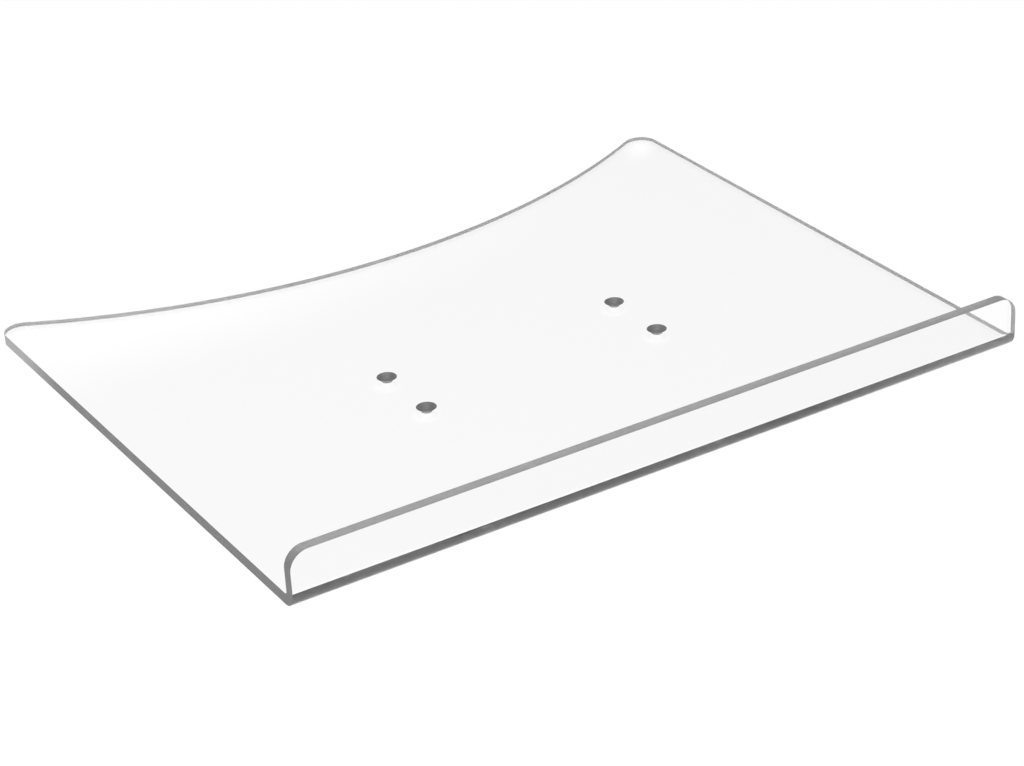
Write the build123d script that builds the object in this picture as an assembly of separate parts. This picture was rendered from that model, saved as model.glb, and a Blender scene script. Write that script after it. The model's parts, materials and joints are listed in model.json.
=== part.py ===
from build123d import *
import math
import os

# Clear acrylic plate of a display stand. It is one sheet, cut to its outline, drilled and
# line-bent along its front, so that a low lip stands up and stops what lies on the plate
# from sliding off. Four countersunk holes take the screws that hold it on its support.
#
# Millimetres. +X runs to the right along the lip, +Y from the lip to the rear and +Z up.
# The origin is on the underside, in the middle of the width and of the depth.

# Overall size
WIDTH = 420.0                  # from side edge to side edge
DEPTH = 335.5                  # from the lip's outer face to the tips of the rear corners
LIP_HEIGHT = 30.0              # from the plate's underside to the lip's top edge
SHEET = 6.0                    # thickness of the acrylic

# Line bend between the plate and the lip
BEND_INNER_RADIUS = 2.0

# Outline
LIP_CORNER_RADIUS = 10.0
REAR_CORNER_RADIUS = 10.0
HOLLOW_RADIUS = 400.0          # the rear edge is an arc that curves in towards the lip

# Screw holes, on a rectangle centred in the width
HOLE_SPACING_X = 140.0
HOLE_SPACING_Y = 40.0
HOLES_FROM_LIP = 140.0         # from the lip's outer face to the middle of the rectangle
HOLE_DIAMETER = 5.5            # clearance hole for an M5 screw
COUNTERSINK_DIAMETER = 10.4    # at the plate's upper face
COUNTERSINK_ANGLE = 90.0

# Places that follow from the sizes
SIDE = WIDTH / 2
FRONT = -DEPTH / 2
REAR = DEPTH / 2


def bent_sheet():
    """The bent sheet at full width and depth, with square corners."""
    upper_face = FilletPolyline(
        (REAR, SHEET),
        (FRONT + SHEET, SHEET),
        (FRONT + SHEET, LIP_HEIGHT),
        radius=BEND_INNER_RADIUS,
    )
    lower_face = FilletPolyline(
        (FRONT, LIP_HEIGHT),
        (FRONT, 0),
        (REAR, 0),
        radius=BEND_INNER_RADIUS + SHEET,
    )
    lip_edge = Line(upper_face @ 1, lower_face @ 0)
    rear_edge = Line(lower_face @ 1, upper_face @ 0)
    side_view = make_face([upper_face, lip_edge, lower_face, rear_edge])
    return extrude(Plane.YZ * side_view, SIDE, both=True)


def plan_outline():
    """The outline seen from above: a rectangle whose rear side is hollowed by an arc.

    The roundings of the rear corners touch the arc from outside, so their centres lie at
    the sum of the two radii from the centre of the hollow.
    """
    corner_x = SIDE - REAR_CORNER_RADIUS
    corner_y = REAR - REAR_CORNER_RADIUS
    centre_distance = HOLLOW_RADIUS + REAR_CORNER_RADIUS
    hollow_y = corner_y + math.sqrt(centre_distance**2 - corner_x**2)
    blank = Pos(0, FRONT) * Rectangle(WIDTH, hollow_y - FRONT, align=(Align.CENTER, Align.MIN))
    outline = blank - Pos(0, hollow_y) * Circle(HOLLOW_RADIUS)
    rear_corners = outline.vertices().group_by(Axis.Y)[-1]
    return fillet(rear_corners, REAR_CORNER_RADIUS)


def front_outline():
    """The outline seen from the front: a rectangle with rounded corners at the lip's top."""
    outline = Rectangle(WIDTH, LIP_HEIGHT, align=(Align.CENTER, Align.MIN))
    lip_corners = outline.vertices().group_by(Axis.Y)[-1]
    return fillet(lip_corners, LIP_CORNER_RADIUS)


def screw_holes():
    """The four countersunk holes, open at the plate's upper face."""
    hole = CounterSinkHole(
        radius=HOLE_DIAMETER / 2,
        counter_sink_radius=COUNTERSINK_DIAMETER / 2,
        depth=SHEET,
        counter_sink_angle=COUNTERSINK_ANGLE,
    )
    places = GridLocations(HOLE_SPACING_X, HOLE_SPACING_Y, 2, 2)
    return Pos(0, FRONT + HOLES_FROM_LIP, SHEET) * places * hole


def bent_plate():
    """The finished plate with its lip."""
    plan_shape = extrude(plan_outline(), LIP_HEIGHT)
    front_shape = extrude(Plane.XZ * front_outline(), DEPTH / 2, both=True)
    plate = bent_sheet() & plan_shape & front_shape
    return plate - screw_holes()


os.makedirs("parts", exist_ok=True)
export_step(bent_plate(), "parts/bent_acrylic_plate.step")
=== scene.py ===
# %% [markdown]
# # A clear acrylic display plate with an upturned lip
# This lesson models one bent sheet of clear acrylic, the kind that holds a plate, a book or a small exhibit
# in a glass case. The frame below is the engineered part at its real size: it fixes where everything goes,
# and the Blender model is built around it.

# %% Load the frame
import json
import math

import bmesh
import bpy
from mathutils import Matrix, Vector


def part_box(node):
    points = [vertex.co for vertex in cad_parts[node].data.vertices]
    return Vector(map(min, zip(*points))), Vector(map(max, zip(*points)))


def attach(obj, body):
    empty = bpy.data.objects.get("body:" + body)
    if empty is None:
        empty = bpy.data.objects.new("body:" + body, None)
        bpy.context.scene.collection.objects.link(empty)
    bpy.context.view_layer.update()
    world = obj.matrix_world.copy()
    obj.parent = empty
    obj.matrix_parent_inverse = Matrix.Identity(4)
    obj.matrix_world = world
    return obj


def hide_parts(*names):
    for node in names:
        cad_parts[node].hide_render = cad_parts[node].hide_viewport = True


MM = 0.001
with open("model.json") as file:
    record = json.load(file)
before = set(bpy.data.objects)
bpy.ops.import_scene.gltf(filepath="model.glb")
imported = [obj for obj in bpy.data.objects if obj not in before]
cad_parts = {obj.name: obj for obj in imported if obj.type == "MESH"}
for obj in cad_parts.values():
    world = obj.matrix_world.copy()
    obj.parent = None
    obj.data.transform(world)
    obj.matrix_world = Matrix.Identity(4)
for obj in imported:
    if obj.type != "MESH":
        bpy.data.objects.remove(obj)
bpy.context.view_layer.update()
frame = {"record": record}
low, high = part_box("bent_acrylic_plate")
print("The plate spans", [round(float(side) / MM, 1) for side in high - low], "mm")

# %% [markdown]
# ## Sizes
# The outside of the part comes from the frame and the screw holes from its record. A few sizes of the sheet
# can't be read off a box, so they are named here, in millimetres, and turned to metres once. Left and right
# are seen from the lip, which is the front.

# %% Sizes of the sheet
TOUCHING = 0.01 * MM
SHEET = 6.0 * MM
BEND_INNER_RADIUS = 2.0 * MM
BEND_OUTER_RADIUS = BEND_INNER_RADIUS + SHEET
LIP_CORNER_RADIUS = 10.0 * MM
REAR_CORNER_RADIUS = 10.0 * MM
HOLLOW_RADIUS = 400.0 * MM
COUNTERSINK_RADIUS = 5.2 * MM

LEFT, FRONT, UNDERSIDE = low
RIGHT, REAR, LIP_TOP = high
TRAY_TOP = UNDERSIDE + SHEET
print("Lip rises", round((LIP_TOP - TRAY_TOP) / MM, 1), "mm above the tray")

# %% [markdown]
# The four screw holes stand at the corners of a rectangle. The record gives its middle and its two sides,
# so the four centres follow from halves of those sides.

# %% Where the screw holes go
holes = next(mount for mount in frame["record"]["mounts"] if mount["name"] == "screw_holes")
HOLE_RADIUS = holes["dims"]["hole_r_mm"] * MM
half_row = holes["dims"]["spacing_x_mm"] * MM / 2
half_gap = holes["dims"]["spacing_y_mm"] * MM / 2
hole_centres = []
for across in (-half_row, half_row):
    for along in (-half_gap, half_gap):
        hole_centres.append((holes["pos_m"][0] + across, holes["pos_m"][1] + along))
print("Hole centres in mm:", [(round(x / MM, 2), round(y / MM, 2)) for x, y in hole_centres])

# %% [markdown]
# ## Selecting in code
# By hand you would click on a corner or a face. In a script the click becomes a question asked of each
# vertex, edge or face: is its middle in the right place? Everything else is deselected first, because an
# operator works on all that is selected.


# %% A helper that selects by place
def pick(kind, test):
    """In edit mode, selects only the vertices, edges or faces whose middle passes the test."""
    bpy.ops.mesh.select_mode(type=kind)
    bpy.ops.mesh.select_all(action="DESELECT")
    mesh = bpy.context.object.data
    shape = bmesh.from_edit_mesh(mesh)
    parts = {"VERT": shape.verts, "EDGE": shape.edges, "FACE": shape.faces}[kind]
    found = 0
    for part in parts:
        corners = [part] if kind == "VERT" else part.verts
        middle = sum((corner.co for corner in corners), Vector()) / len(corners)
        if test(middle):
            part.select_set(True)
            found += 1
    bmesh.update_edit_mesh(mesh)
    print("Selected", found, kind.lower())


def near(a, b):
    """True if two lengths agree to a hundredth of a millimetre."""
    return abs(a - b) < TOUCHING


print("Two places count as one within", round(TOUCHING / MM, 2), "mm")


# %% [markdown]
# ## The flat blank
# The real plate starts as a flat blank, routed from a 6 mm sheet. Its rear edge is a wide shallow hollow
# that runs into each rear corner through a rounding. You could draw that outline with a curve, or cut a big
# disc from a rectangle. Here a single point is swept instead, round the left corner, back along the hollow
# and round the right corner, because a sweep keeps the three arcs tangent and gives evenly spaced points.
#
# The hollow's circle and each corner's circle touch from outside, so their centres are the sum of their
# radii apart. That one fact places the hollow's centre, and gives the angle that each sweep turns through.

# %% Work out the three arcs of the rear edge
flat_front = FRONT + BEND_OUTER_RADIUS
corner_y = REAR - REAR_CORNER_RADIUS
corner_x = RIGHT - REAR_CORNER_RADIUS
centre_distance = HOLLOW_RADIUS + REAR_CORNER_RADIUS
hollow_y = corner_y + math.sqrt(centre_distance**2 - corner_x**2)
hollow_half_turn = math.asin(corner_x / centre_distance)
corner_turn = math.pi / 2 + hollow_half_turn
print("The hollow is", round((REAR - (hollow_y - HOLLOW_RADIUS)) / MM, 1), "mm deep in the middle")

# %% [markdown]
# A plane gives the two straight sides and the front of the flat part. Its face and its rear edge are
# deleted, which leaves the open outline that the sweeps will close.

# %% Start the outline from a plane
bpy.ops.object.select_all(action="DESELECT")
bpy.ops.mesh.primitive_plane_add(size=1)
plate = bpy.context.object
plate.name = "acrylic_plate"
plate.scale = (RIGHT - LEFT, corner_y - flat_front, 1)
plate.location = (0, (corner_y + flat_front) / 2, UNDERSIDE)
bpy.ops.object.transform_apply(location=True, rotation=True, scale=True)
bpy.ops.object.mode_set(mode="EDIT")
bpy.ops.mesh.delete(type="ONLY_FACE")
pick("EDGE", lambda middle: near(middle.y, corner_y))
bpy.ops.mesh.delete(type="EDGE")
print("The straight sides are", round((corner_y - flat_front) / MM, 1), "mm long")

# %% [markdown]
# The rear end of the left side is now a loose point. It is spun three times about the three centres. Each
# spin leaves its last point selected, so the next one carries on from there, and the sign of its angle says
# which way the arc curls: the corners one way, the hollow the other. The last point lands on the rear end
# of the right side. Doubled points are merged there, and one face fills the closed outline.

# %% Sweep a point round the rear edge, and close the outline
CORNER_STEPS = 24
HOLLOW_STEPS = 120
UPRIGHT = (0, 0, 1)
left_centre = (-corner_x, corner_y, 0)
right_centre = (corner_x, corner_y, 0)
hollow_centre = (0, hollow_y, 0)
pick("VERT", lambda place: near(place.y, corner_y) and place.x < 0)
bpy.ops.mesh.spin(steps=CORNER_STEPS, angle=corner_turn, center=left_centre, axis=UPRIGHT)
bpy.ops.mesh.spin(steps=HOLLOW_STEPS, angle=-2 * hollow_half_turn, center=hollow_centre, axis=UPRIGHT)
bpy.ops.mesh.spin(steps=CORNER_STEPS, angle=corner_turn, center=right_centre, axis=UPRIGHT)
bpy.ops.mesh.select_all(action="SELECT")
bpy.ops.mesh.remove_doubles(threshold=TOUCHING)
bpy.ops.mesh.edge_face_add()
print("The outline has", len(bmesh.from_edit_mesh(plate.data).verts), "points")

# %% [markdown]
# One extrusion upwards gives the blank its thickness. A Solidify modifier would do the same, but an
# extrusion keeps the front end face, which the next step needs.

# %% Give the blank its thickness
bpy.ops.mesh.extrude_region_move(TRANSFORM_OT_translate={"value": (0, 0, SHEET)})
blank_faces = len(bmesh.from_edit_mesh(plate.data).faces)
print("The blank is", round(SHEET / MM, 1), "mm thick and has", blank_faces, "faces")

# %% [markdown]
# ## The lip
# The maker warms a narrow line of the sheet over a hot wire and folds the front up by a right angle. The
# inside of the fold stays tight, and the outside is larger by the thickness of the sheet. Spinning the
# front end face a quarter turn about the centre of the fold makes both arcs at once, and an extrusion adds
# the straight part of the lip.

# %% Fold the front up
BEND_STEPS = 24
ALONG_THE_LIP = (1, 0, 0)
bend_centre = (0, flat_front, UNDERSIDE + BEND_OUTER_RADIUS)
pick("FACE", lambda middle: near(middle.y, flat_front))
bpy.ops.mesh.spin(steps=BEND_STEPS, angle=math.pi / 2, center=bend_centre, axis=ALONG_THE_LIP)
straight_rise = LIP_TOP - UNDERSIDE - BEND_OUTER_RADIUS
bpy.ops.mesh.extrude_region_move(TRANSFORM_OT_translate={"value": (0, 0, straight_rise)})
print("Straight part of the lip:", round(straight_rise / MM, 1), "mm")

# %% [markdown]
# The two top corners of the lip are rounded, so that nobody catches a finger on them. Bevelling the two
# short edges that run through the thickness there gives a true quarter circle.

# %% Round the lip's corners
LIP_CORNER_STEPS = 20
pick("EDGE", lambda middle: near(middle.z, LIP_TOP) and (near(middle.x, LEFT) or near(middle.x, RIGHT)))
bpy.ops.mesh.bevel(offset=LIP_CORNER_RADIUS, segments=LIP_CORNER_STEPS, affect="EDGES")
bpy.ops.mesh.select_all(action="SELECT")
bpy.ops.mesh.normals_make_consistent(inside=False)
bpy.ops.object.mode_set(mode="OBJECT")
print("The folded plate has", len(plate.data.polygons), "faces")

# %% [markdown]
# ## The screw holes
# Each hole is drilled through and then opened at the top with a cone, so that a flat-headed screw sits
# level with the tray. The drill is modelled in one piece, a cylinder with a cone above it and a little
# extra at both ends so that it comes clear of the sheet. At 45 degrees the cone is as deep as it is wide.

# %% Shape the drill
DRILL_SIDES = 64
clearance = 1.0 * MM
cone_depth = COUNTERSINK_RADIUS - HOLE_RADIUS
cone_start = TRAY_TOP - cone_depth
shank_bottom = UNDERSIDE - clearance
bpy.ops.object.select_all(action="DESELECT")
shank_length = cone_start - shank_bottom
bpy.ops.mesh.primitive_cylinder_add(vertices=DRILL_SIDES, radius=HOLE_RADIUS, depth=shank_length)
drill = bpy.context.object
drill.location.z = (cone_start + shank_bottom) / 2
bpy.ops.object.transform_apply(location=True, rotation=True, scale=True)
bpy.ops.object.mode_set(mode="EDIT")
pick("FACE", lambda middle: near(middle.z, cone_start))
bpy.ops.mesh.extrude_region_move(TRANSFORM_OT_translate={"value": (0, 0, cone_depth)})
widening = COUNTERSINK_RADIUS / HOLE_RADIUS
bpy.ops.transform.resize(value=(widening, widening, 1), center_override=(0, 0, TRAY_TOP))
bpy.ops.mesh.extrude_region_move(TRANSFORM_OT_translate={"value": (0, 0, clearance)})
bpy.ops.object.mode_set(mode="OBJECT")
print("The cone is", round(cone_depth / MM, 2), "mm deep")

# %% [markdown]
# A Boolean modifier takes the drill's shape out of the plate. The drill is copied to each centre, each copy
# with its own mesh, and every cut is applied before the next.


# %% Drill the four holes
def apply_modifier(kind, **settings):
    """Adds a modifier to the plate with these settings, and applies it."""
    bpy.ops.object.select_all(action="DESELECT")
    plate.select_set(True)
    bpy.context.view_layer.objects.active = plate
    bpy.ops.object.modifier_add(type=kind)
    modifier = plate.modifiers[-1]
    for name, setting in settings.items():
        setattr(modifier, name, setting)
    bpy.ops.object.modifier_apply(modifier=modifier.name)


for x, y in hole_centres:
    bit = drill.copy()
    bit.data = drill.data.copy()
    bit.location = (x, y, 0)
    bpy.context.collection.objects.link(bit)
    apply_modifier("BOOLEAN", object=bit, operation="DIFFERENCE", solver="EXACT")
    bpy.data.objects.remove(bit)
bpy.data.objects.remove(drill)
print("After drilling the plate has", len(plate.data.polygons), "faces")

# %% [markdown]
# ## Broken edges
# A cut edge of acrylic is sharp enough to scratch, so the maker draws a scraper along it. That takes about a
# fifth of a millimetre off each of its two faces, and the narrow flat between them catches the light as a
# thin line. A Bevel modifier finds every sharp edge by its angle, the rims of the holes among them.

# %% Scrape the sharp edges
SCRAPED_OFF = 0.2 * MM
SHARP = math.radians(40)
apply_modifier("BEVEL", width=SCRAPED_OFF, segments=1, offset_type="OFFSET",
               limit_method="ANGLE", angle_limit=SHARP)
print("After scraping the plate has", len(plate.data.polygons), "faces")

# %% [markdown]
# The arcs should look smooth and the flats flat. Shading by angle smooths only across shallow steps, and a
# Weighted Normal modifier then lets the large flat faces decide the direction at their corners, so that the
# thin scraped faces don't pull the shading of the tray about.

# %% Smooth the arcs and measure the result
SHALLOW = math.radians(15)
LARGEST_FACE_WINS = 100
CUBIC_CM = (10 * MM) ** 3
bpy.ops.object.shade_smooth_by_angle(angle=SHALLOW)
apply_modifier("WEIGHTED_NORMAL", mode="FACE_AREA", weight=LARGEST_FACE_WINS, keep_sharp=True)
solid = bmesh.new()
solid.from_mesh(plate.data)
open_edges = sum(not edge.is_manifold for edge in solid.edges)
print("Volume", round(solid.calc_volume() / CUBIC_CM, 2), "cubic centimetres, open edges:", open_edges)
solid.free()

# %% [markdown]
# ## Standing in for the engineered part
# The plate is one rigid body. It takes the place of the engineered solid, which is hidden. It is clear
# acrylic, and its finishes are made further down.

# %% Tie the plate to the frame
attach(plate, "root")
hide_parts("bent_acrylic_plate")
print(plate.name, "stands for bent_acrylic_plate, on body root")

# %% [markdown]
# ## Helpers for finishes
# Colours are easiest to write as hex codes, which are stored for the screen. Shaders work with linear
# light, so one function converts them by the sRGB standard's own curve. Another adds a node with its
# settings, its values and its links in one call.


# %% Colour and node helpers
def hex_colour(code):
    """Turns a code such as #808080 into linear red, green, blue and alpha."""
    screen = [part / 255 for part in bytes.fromhex(code.lstrip("#"))]
    linear = [part / 12.92 if part <= 0.04045 else ((part + 0.055) / 1.055) ** 2.4 for part in screen]
    return (*linear, 1.0)


def add_node(tree, kind, settings=(), values=(), links=()):
    """Adds a node, and sets its properties, its socket values and the links into its sockets."""
    node = tree.nodes.new(kind)
    for name, setting in dict(settings).items():
        setattr(node, name, setting)
    for socket, value in dict(values).items():
        node.inputs[socket].default_value = value
    for socket, source in dict(links).items():
        tree.links.new(source, node.inputs[socket])
    return node


print("Mid grey #808080 is", round(hex_colour("#808080")[0], 3), "in linear light")


# %% [markdown]
# ## Acrylic
# Acrylic is a clear, colourless plastic with an index of refraction of 1.49, a little under window glass.
# Light that enters it is trapped by its own faces and runs along inside the sheet, losing a little on the
# way, and comes out at the edges. So all three finishes below share the same clear body, which takes some
# of the light per metre of travel, and they differ only in how their surface was made.


# %% The clear body that all three finishes share
ACRYLIC_IOR = 1.49
LOSS_PER_METRE = 2.0


def acrylic(name, colour, see_through):
    """A new acrylic finish: gives back its material's tree and its surface shader."""
    material = bpy.data.materials.new(name)
    material.use_nodes = True
    tree = material.node_tree
    surface = tree.nodes["Principled BSDF"]
    surface.inputs["Base Color"].default_value = hex_colour(colour)
    surface.inputs["IOR"].default_value = ACRYLIC_IOR
    surface.inputs["Transmission Weight"].default_value = see_through
    body = add_node(tree, "ShaderNodeVolumeAbsorption",
                    values={"Color": hex_colour("#000000"), "Density": LOSS_PER_METRE})
    tree.links.new(body.outputs["Volume"], tree.nodes["Material Output"].inputs["Volume"])
    plate.data.materials.append(material)
    return tree, surface


kept_light = math.exp(-LOSS_PER_METRE * (RIGHT - LEFT))
print("Light that runs the width of the sheet keeps", round(100 * kept_light), "% of its strength")


# %% [markdown]
# ### Polished faces
# The sheet is cast between two plates of glass, so its faces are as smooth as theirs. What tells the eye
# that it is cast plastic is a slow ripple, a few hundredths of a millimetre high and about a hand's width
# long, which makes reflections swim a little.
#
# A Noise texture's Detail says how many finer layers are laid over it, and its Roughness how strong each
# one is next to the one before.

# %% Finish: polished cast acrylic, with its ripple
RIPPLE_LENGTH = 90 * MM
RIPPLE_HEIGHT = 0.04 * MM
RIPPLE_LAYERS = 1.0
RIPPLE_LAYER_STRENGTH = 0.4
tree, surface = acrylic("polished_cast_acrylic", "#FFFFFF", 1.0)
place = add_node(tree, "ShaderNodeTexCoord")
ripple = add_node(tree, "ShaderNodeTexNoise",
                  values={"Scale": 1 / RIPPLE_LENGTH, "Detail": RIPPLE_LAYERS,
                          "Roughness": RIPPLE_LAYER_STRENGTH},
                  links={"Vector": place.outputs["Object"]})
ripple_bump = add_node(tree, "ShaderNodeBump",
                       values={"Strength": 1.0, "Distance": RIPPLE_HEIGHT},
                       links={"Height": ripple.outputs["Fac"]})
tree.links.new(ripple_bump.outputs["Normal"], surface.inputs["Normal"])
print("Ripples", round(RIPPLE_LENGTH / MM), "mm long and", round(RIPPLE_HEIGHT / MM, 2), "mm high")

# %% [markdown]
# A cloth leaves faint streaks along the sheet, where the gloss is slightly softer. They are noise drawn out
# along the lip. They really are about a millimetre wide, and are drawn several times coarser so that they
# can be seen at all.

# %% Cleaning streaks on the polished faces
STREAK_WIDTH = 8 * MM
STREAK_STRETCH = 0.08
STREAK_LAYERS = 4.0
STREAK_LAYER_STRENGTH = 0.6
STREAKS_BEGIN, STREAKS_FULL = 0.45, 0.8
SOFTEST_GLOSS = 0.03
along_lip = add_node(tree, "ShaderNodeMapping",
                     values={"Scale": (STREAK_STRETCH, 1.0, 1.0)},
                     links={"Vector": place.outputs["Object"]})
streaks = add_node(tree, "ShaderNodeTexNoise",
                   values={"Scale": 1 / STREAK_WIDTH, "Detail": STREAK_LAYERS,
                           "Roughness": STREAK_LAYER_STRENGTH},
                   links={"Vector": along_lip.outputs["Vector"]})
gloss = add_node(tree, "ShaderNodeMapRange",
                 values={"From Min": STREAKS_BEGIN, "From Max": STREAKS_FULL, "To Max": SOFTEST_GLOSS},
                 links={"Value": streaks.outputs["Fac"]})
tree.links.new(gloss.outputs["Result"], surface.inputs["Roughness"])
print("Streaks", round(STREAK_WIDTH / MM), "mm wide and", round(1 / STREAK_STRETCH), "times as long")

# %% [markdown]
# ### Sawn edges
# The outline is cut with a fine circular saw and a router, and left satin. A satin edge passes a little
# over a third of the light and scatters the rest, so it looks like grey frosted glass from both sides. The
# cutter leaves slanting tooth marks across the edge, about half a millimetre apart, drawn here at a full
# millimetre so that they show.
#
# A Wave texture with diagonal bands repeats every 2 pi / 10 units at a scale of 1, which sets the scale for
# a real pitch. Its Distortion lets noise push the bands about, so that the marks wander a little.

# %% Finish: sawn acrylic edge, with its tooth marks
TOOTH_PITCH = 1.0 * MM
TOOTH_DEPTH = 0.02 * MM
TOOTH_WANDER = 2.0
TOOTH_WANDER_LAYERS = 2.0
TOOTH_WANDER_SCALE = 0.3
SMOOTHEST_SAWN, ROUGHEST_SAWN = 0.36, 0.46
DARK_FROST = "#6C6C6C"
SAWN_SEE_THROUGH = 0.38
DIAGONAL_BANDS = 2 * math.pi / 10
tree, surface = acrylic("sawn_acrylic_edge", DARK_FROST, SAWN_SEE_THROUGH)
place = add_node(tree, "ShaderNodeTexCoord")
teeth = add_node(tree, "ShaderNodeTexWave",
                 settings={"bands_direction": "DIAGONAL"},
                 values={"Scale": DIAGONAL_BANDS / TOOTH_PITCH, "Distortion": TOOTH_WANDER,
                         "Detail": TOOTH_WANDER_LAYERS, "Detail Scale": TOOTH_WANDER_SCALE},
                 links={"Vector": place.outputs["Object"]})
tooth_bump = add_node(tree, "ShaderNodeBump",
                      values={"Strength": 1.0, "Distance": TOOTH_DEPTH},
                      links={"Height": teeth.outputs["Fac"]})
tooth_satin = add_node(tree, "ShaderNodeMapRange",
                       values={"To Min": SMOOTHEST_SAWN, "To Max": ROUGHEST_SAWN},
                       links={"Value": teeth.outputs["Fac"]})
tree.links.new(tooth_bump.outputs["Normal"], surface.inputs["Normal"])
tree.links.new(tooth_satin.outputs["Result"], surface.inputs["Roughness"])
print("Tooth marks are", round(TOOTH_PITCH / MM, 1), "mm apart")

# %% [markdown]
# The frost isn't quite even. Where the blade ran warmer it is paler, in patches about as wide as a
# fingertip.
#
# A Mix node set to colour keeps its two colours in sockets 6 and 7 and gives the result in output 2.

# %% Frost on the sawn edges
FROST_SIZE = 12 * MM
FROST_LAYERS = 3.0
PALE_FROST = "#7C7C7C"
FIRST_COLOUR, SECOND_COLOUR, MIXED_COLOUR = 6, 7, 2
cloud = add_node(tree, "ShaderNodeTexNoise",
                 values={"Scale": 1 / FROST_SIZE, "Detail": FROST_LAYERS},
                 links={"Vector": place.outputs["Object"]})
frost = add_node(tree, "ShaderNodeMix",
                 settings={"data_type": "RGBA"},
                 values={FIRST_COLOUR: hex_colour(DARK_FROST), SECOND_COLOUR: hex_colour(PALE_FROST)},
                 links={"Factor": cloud.outputs["Fac"]})
tree.links.new(frost.outputs[MIXED_COLOUR], surface.inputs["Base Color"])
print("Frost patches are about", round(FROST_SIZE / MM), "mm wide")

# %% [markdown]
# ### Drilled walls
# The walls of a drilled hole scatter most of the light, so they look mid grey and hide what is behind them.
# The cone is given a darker grey. The straight wall under it sits deep in the hole, where little light
# reaches, so it is painted a paler grey as painted light, and the two greys meet where the cone begins.

# %% Finish: drilled acrylic, with its two greys
# The paler wall grey is painted light: it stands in for light that the deep straight wall doesn't get.
PAINTED_LIGHT_WALL_GREY = "#949494"
CONE_GREY = "#5A5A5A"
GREYS_MEET = 0.3 * MM
DRILLED_SEE_THROUGH = 0.2
tree, surface = acrylic("drilled_acrylic", CONE_GREY, DRILLED_SEE_THROUGH)
place = add_node(tree, "ShaderNodeTexCoord")
height = add_node(tree, "ShaderNodeSeparateXYZ", links={"Vector": place.outputs["Object"]})
in_cone = add_node(tree, "ShaderNodeMapRange",
                   values={"From Min": cone_start - GREYS_MEET, "From Max": cone_start + GREYS_MEET},
                   links={"Value": height.outputs["Z"]})
grey = add_node(tree, "ShaderNodeMix",
                settings={"data_type": "RGBA"},
                values={FIRST_COLOUR: hex_colour(PAINTED_LIGHT_WALL_GREY), SECOND_COLOUR: hex_colour(CONE_GREY)},
                links={"Factor": in_cone.outputs["Result"]})
tree.links.new(grey.outputs[MIXED_COLOUR], surface.inputs["Base Color"])
print("The greys meet", round((cone_start - UNDERSIDE) / MM, 2), "mm above the underside")

# %% [markdown]
# A drill and a countersink turn in place, so their marks are rings round the hole. Such rings are a tenth
# or two of a millimetre apart, drawn here at nearly a whole one so that they show.
#
# A Wave texture with bands along one axis repeats every 2 pi / 20 units at a scale of 1.

# %% Rings on the drilled walls
RING_PITCH = 0.9 * MM
RING_DEPTH = 0.02 * MM
RING_WANDER = 0.6
RING_WANDER_LAYERS = 1.0
SMOOTHEST_DRILLED, ROUGHEST_DRILLED = 0.25, 0.4
STRAIGHT_BANDS = 2 * math.pi / 20
rings = add_node(tree, "ShaderNodeTexWave",
                 settings={"bands_direction": "Z"},
                 values={"Scale": STRAIGHT_BANDS / RING_PITCH, "Distortion": RING_WANDER,
                         "Detail": RING_WANDER_LAYERS},
                 links={"Vector": place.outputs["Object"]})
ring_bump = add_node(tree, "ShaderNodeBump",
                     values={"Strength": 1.0, "Distance": RING_DEPTH},
                     links={"Height": rings.outputs["Fac"]})
ring_satin = add_node(tree, "ShaderNodeMapRange",
                      values={"To Min": SMOOTHEST_DRILLED, "To Max": ROUGHEST_DRILLED},
                      links={"Value": rings.outputs["Fac"]})
tree.links.new(ring_bump.outputs["Normal"], surface.inputs["Normal"])
tree.links.new(ring_satin.outputs["Result"], surface.inputs["Roughness"])
print("Rings are", round(RING_PITCH / MM, 1), "mm apart")

# %% [markdown]
# ### Giving each face its finish
# Faces near the middle of a hole were drilled. Faces that look sideways, the top of the lip and the rear
# edge were sawn. All the rest, the bend included, is the polished face of the sheet.

# %% Sort the faces
POLISHED, SAWN, DRILLED = 0, 1, 2
SIDEWAYS = 0.02
REARWARDS = 0.1


def finish_of(face):
    """The finish that this face of the plate was left with."""
    middle, facing = face.center, face.normal
    for x, y in hole_centres:
        if math.hypot(middle.x - x, middle.y - y) < COUNTERSINK_RADIUS + SCRAPED_OFF:
            return DRILLED
    on_lip_top = middle.z > LIP_TOP - 2 * SCRAPED_OFF
    on_rear_edge = middle.y > 0 and facing.y > REARWARDS
    if abs(facing.x) > SIDEWAYS or on_lip_top or on_rear_edge:
        return SAWN
    return POLISHED


for face in plate.data.polygons:
    face.material_index = finish_of(face)
finishes = [face.material_index for face in plate.data.polygons]
print("Faces polished, sawn and drilled:", [finishes.count(kind) for kind in (POLISHED, SAWN, DRILLED)])

# %% [markdown]
# ## The studio
# Clear plastic shows mostly what is around it. It is laid on a plain white floor, which glows evenly so
# that it stays white without a shadow, and the sheet is drawn by its edges alone.

# %% White floor
FLOOR_SIZE = 40
FLOOR_GAP = 1.0 * MM
floor_level = UNDERSIDE - FLOOR_GAP
bpy.ops.object.select_all(action="DESELECT")
bpy.ops.mesh.primitive_plane_add(size=FLOOR_SIZE, location=(0, 0, floor_level))
floor = bpy.context.object
floor.name = "floor"
bpy.ops.object.transform_apply(location=True, rotation=True, scale=True)
print("The floor is", FLOOR_SIZE, "m wide")

# %% [markdown]
# The cone of each hole works as a small lens. It gathers some light into a soft bright spot on the floor, a
# few millimetres in front of the hole and to its left. Tracing that light would take very many paths, so
# the floor glows a little more there instead. The spots lie alike round one middle point, so the distance
# is measured in one quarter of the floor only, after both coordinates have lost their sign.

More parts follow.
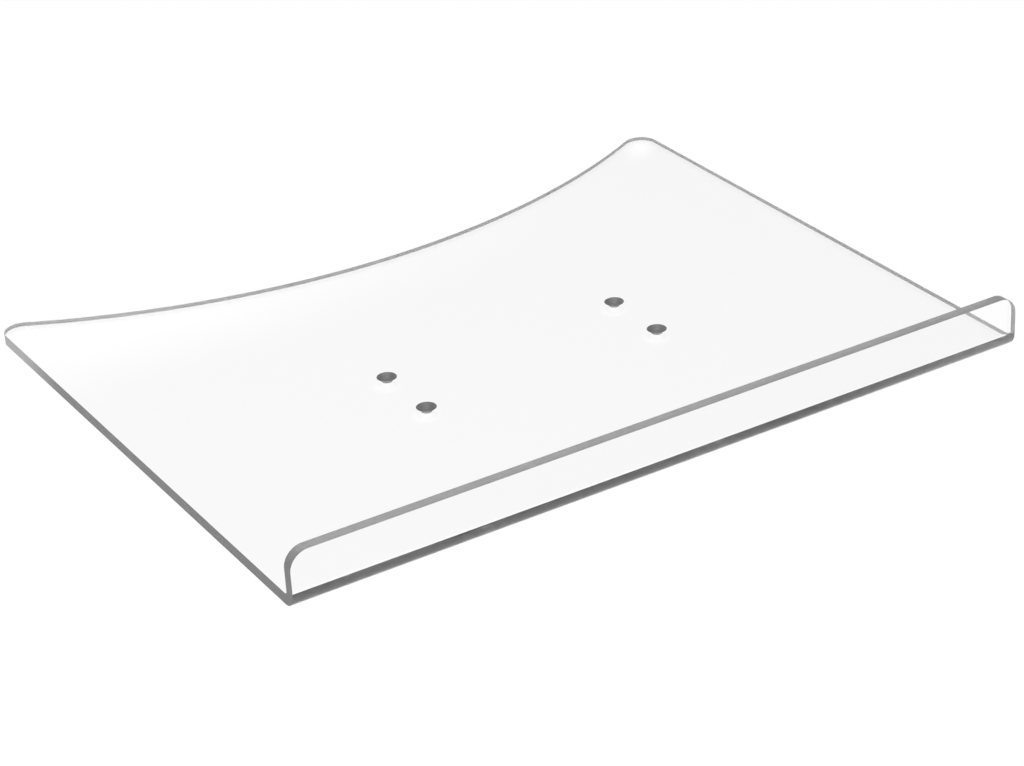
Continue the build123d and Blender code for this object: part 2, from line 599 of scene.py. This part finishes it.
# %% Distance to the nearest bright spot
GLOW_TO_LEFT = 2.7 * MM
GLOW_IN_FRONT = 3.4 * MM
to_middle = (GLOW_TO_LEFT - holes["pos_m"][0], GLOW_IN_FRONT - holes["pos_m"][1], 0)
white = bpy.data.materials.new("lit_white_floor")
white.use_nodes = True
tree = white.node_tree
tree.nodes.remove(tree.nodes["Principled BSDF"])
place = add_node(tree, "ShaderNodeTexCoord")
from_middle = add_node(tree, "ShaderNodeVectorMath",
                       values={1: to_middle},
                       links={0: place.outputs["Object"]})
quarter = add_node(tree, "ShaderNodeVectorMath",
                   settings={"operation": "ABSOLUTE"},
                   links={0: from_middle.outputs["Vector"]})
from_spot = add_node(tree, "ShaderNodeVectorMath",
                     settings={"operation": "DISTANCE"},
                     values={1: (half_row, half_gap, abs(floor_level))},
                     links={0: quarter.outputs["Vector"]})
print("Spots lie", round(math.hypot(GLOW_TO_LEFT, GLOW_IN_FRONT) / MM, 1), "mm away from their holes")

# %% [markdown]
# The floor gives off the same white everywhere, apart from the spots, where its strength rises smoothly
# towards the middle of each.

# %% Finish: lit white floor
GLOW_RADIUS = 9.0 * MM
GLOW_STRENGTH = 1.14
spot = add_node(tree, "ShaderNodeMapRange",
                settings={"interpolation_type": "SMOOTHSTEP"},
                values={"From Max": GLOW_RADIUS, "To Min": GLOW_STRENGTH, "To Max": 1.0},
                links={"Value": from_spot.outputs["Value"]})
glow = add_node(tree, "ShaderNodeEmission",
                values={"Color": hex_colour("#FFFFFF")},
                links={"Strength": spot.outputs["Result"]})
tree.links.new(glow.outputs["Emission"], tree.nodes["Material Output"].inputs["Surface"])
floor.data.materials.append(white)
print("Bright spots", round(GLOW_RADIUS / MM), "mm in radius, up to", GLOW_STRENGTH, "times the floor")

# %% [markdown]
# Above the floor is a white tent, a little dimmer than the floor. The world stands for it, so its
# brightness is worked out from direction alone: how steeply a direction climbs, and how far it swings to
# the right, both compared with how far it goes forward.

# %% The world, and its two directions
world = bpy.data.worlds.new("white_tent")
world.use_nodes = True
bpy.context.scene.world = world
tree = world.node_tree
direction = add_node(tree, "ShaderNodeTexCoord")
parts = add_node(tree, "ShaderNodeSeparateXYZ", links={"Vector": direction.outputs["Generated"]})
forward = add_node(tree, "ShaderNodeMath", settings={"operation": "ABSOLUTE"}, links={0: parts.outputs["Y"]})
climb = add_node(tree, "ShaderNodeMath", settings={"operation": "DIVIDE"},
                 links={0: parts.outputs["Z"], 1: forward.outputs["Value"]})
swing = add_node(tree, "ShaderNodeMath", settings={"operation": "DIVIDE"},
                 links={0: parts.outputs["X"], 1: forward.outputs["Value"]})
print("The world has", len(tree.nodes), "nodes so far")

# %% [markdown]
# Behind the plate and towards its left hangs a fully white backdrop. Its soft upper edge is mirrored across
# the rear of the tray, and so is its soft right end. Each edge is one ramp, and the backdrop is where both
# are full.

# %% White backdrop
TOP_BEGINS, TOP_ENDS = 0.53, 0.567
END_BEGINS, END_ENDS = 0.42, 0.65
below_top = add_node(tree, "ShaderNodeMapRange",
                     settings={"interpolation_type": "SMOOTHSTEP"},
                     values={"From Min": TOP_BEGINS, "From Max": TOP_ENDS, "To Min": 1.0, "To Max": 0.0},
                     links={"Value": climb.outputs["Value"]})
left_of_end = add_node(tree, "ShaderNodeMapRange",
                       settings={"interpolation_type": "SMOOTHSTEP"},
                       values={"From Min": END_BEGINS, "From Max": END_ENDS, "To Min": 1.0, "To Max": 0.0},
                       links={"Value": swing.outputs["Value"]})
backdrop = add_node(tree, "ShaderNodeMath", settings={"operation": "MULTIPLY"},
                    links={0: below_top.outputs["Result"], 1: left_of_end.outputs["Result"]})
print("The backdrop ends", round(math.degrees(math.atan(TOP_ENDS))), "degrees up, straight ahead")

# %% [markdown]
# A small opening in the tent, low behind the plate on the right, lets a little more light through. The
# tray's rear right corner mirrors it as a white blur. Its ramp is measured round one direction.

# %% Small opening in the tent
OPENING_CLIMB = 0.5185
OPENING_SWING = 0.6635
OPENING_RADIUS = 0.0125
two_directions = add_node(tree, "ShaderNodeCombineXYZ",
                          links={"X": climb.outputs["Value"], "Y": swing.outputs["Value"]})
from_opening = add_node(tree, "ShaderNodeVectorMath",
                        settings={"operation": "DISTANCE"},
                        values={1: (OPENING_CLIMB, OPENING_SWING, 0)},
                        links={0: two_directions.outputs["Vector"]})
opening = add_node(tree, "ShaderNodeMapRange",
                   settings={"interpolation_type": "SMOOTHSTEP"},
                   values={"From Max": OPENING_RADIUS, "To Min": 1.0, "To Max": 0.0},
                   links={"Value": from_opening.outputs["Value"]})
print("The opening is", round(2 * math.degrees(math.atan(OPENING_RADIUS)), 1), "degrees across")

# %% [markdown]
# The tent itself is a little dimmer on the right than on the left. The backdrop or the opening, whichever
# is the stronger in a direction, takes it from there up to full white.

# %% Brightness of the tent
WHITE_GLOW = 1.12
TENT_LEFT_GLOW, TENT_RIGHT_GLOW = 0.78, 0.70
TENT_FADES_FROM, TENT_FADES_TO = 0.3, 0.8
tent = add_node(tree, "ShaderNodeMapRange",
                values={"From Min": TENT_FADES_FROM, "From Max": TENT_FADES_TO,
                        "To Min": TENT_LEFT_GLOW, "To Max": TENT_RIGHT_GLOW},
                links={"Value": swing.outputs["Value"]})
white_places = add_node(tree, "ShaderNodeMath", settings={"operation": "MAXIMUM"},
                        links={0: backdrop.outputs["Value"], 1: opening.outputs["Result"]})
brightness = add_node(tree, "ShaderNodeMapRange",
                      values={"To Max": WHITE_GLOW},
                      links={"Value": white_places.outputs["Value"], "To Min": tent.outputs["Result"]})
tree.links.new(brightness.outputs["Result"], tree.nodes["Background"].inputs["Strength"])
tree.nodes["Background"].inputs["Color"].default_value = hex_colour("#FFFFFF")
print("The tent glows from", TENT_LEFT_GLOW, "to", TENT_RIGHT_GLOW, "and its white places up to", WHITE_GLOW)

# %% [markdown]
# Two lamps finish the studio. A large softbox overhead lightens the top of the lip and the insides of the
# holes. A small spotlight with a fully soft rim, standing to the left, lifts the rear end of the left edge
# and fades out along it, as light does that leaks out of the sheet there.


# %% Softbox and spotlight
def add_lamp(kind, name, stands_at, looks_at, watts, **settings):
    """Adds a lamp at one point, turned to face another."""
    lamp = bpy.data.objects.new(name, bpy.data.lights.new(name, kind))
    lamp.data.energy = watts
    for setting, value in settings.items():
        setattr(lamp.data, setting, value)
    bpy.context.collection.objects.link(lamp)
    gaze = Vector(looks_at) - Vector(stands_at)
    lamp.matrix_world = Matrix.Translation(stands_at) @ gaze.to_track_quat("-Z", "Y").to_matrix().to_4x4()
    print(name, "is", round(gaze.length, 2), "m away")


SOFTBOX_PLACE = (0, 0, 1.5)
SOFTBOX_SIDE = 2.0
SOFTBOX_WATTS = 36
SPOTLIGHT_PLACE = (-1.2, 0.12, 0.35)
SPOTLIGHT_WATTS = 87
SPOTLIGHT_BEAM = math.radians(9)
tray_middle = (0, 0, 0)
rear_left = (LEFT, REAR, UNDERSIDE)
add_lamp("AREA", "overhead_softbox", SOFTBOX_PLACE, tray_middle, SOFTBOX_WATTS,
         shape="SQUARE", size=SOFTBOX_SIDE)
add_lamp("SPOT", "edge_spotlight", SPOTLIGHT_PLACE, rear_left, SPOTLIGHT_WATTS,
         spot_size=SPOTLIGHT_BEAM, spot_blend=1.0, shadow_soft_size=0.0)

# %% [markdown]
# ## The camera
# The camera stands a metre and a half away, in front and to the left, and looks down at the tray through a
# long lens, so that far edges stay nearly as long as near ones. It is turned to the right, tipped down and
# rolled very slightly.

# %% Camera
CAMERA_PLACE = (-0.66958, -1.15239, 0.68713)
TURN_RIGHT = math.radians(30.476)
TIP_DOWN = math.radians(28.092)
ROLL = math.radians(-3.282)
LENS_MM = 100.29
SENSOR_MM = 36
camera = bpy.data.objects.new("camera", bpy.data.cameras.new("camera"))
camera.data.lens = LENS_MM
camera.data.sensor_width = SENSOR_MM
aim = Matrix.Rotation(-TURN_RIGHT, 4, "Z") @ Matrix.Rotation(math.pi / 2 - TIP_DOWN, 4, "X")
camera.matrix_world = Matrix.Translation(CAMERA_PLACE) @ aim @ Matrix.Rotation(ROLL, 4, "Z")
bpy.context.collection.objects.link(camera)
bpy.context.scene.camera = camera
print("The camera stands", round(Vector(CAMERA_PLACE).length, 2), "m from the middle of the plate")

# %% [markdown]
# Light that is trapped in the sheet is reflected many times before it gets out. Each reflection is one
# bounce, and a path that runs out of bounces turns black, so the limits are raised. The Standard view keeps
# white as white. The noise filter is given the picture alone, because a clear surface gives it no useful
# colour or direction to go by.

# %% Light paths and view
BOUNCES = 32
scene = bpy.context.scene
scene.cycles.max_bounces = BOUNCES
scene.cycles.glossy_bounces = BOUNCES
scene.cycles.transmission_bounces = BOUNCES
scene.cycles.denoising_input_passes = "RGB"
scene.view_settings.view_transform = "Standard"
print("A light path may bounce", BOUNCES, "times")
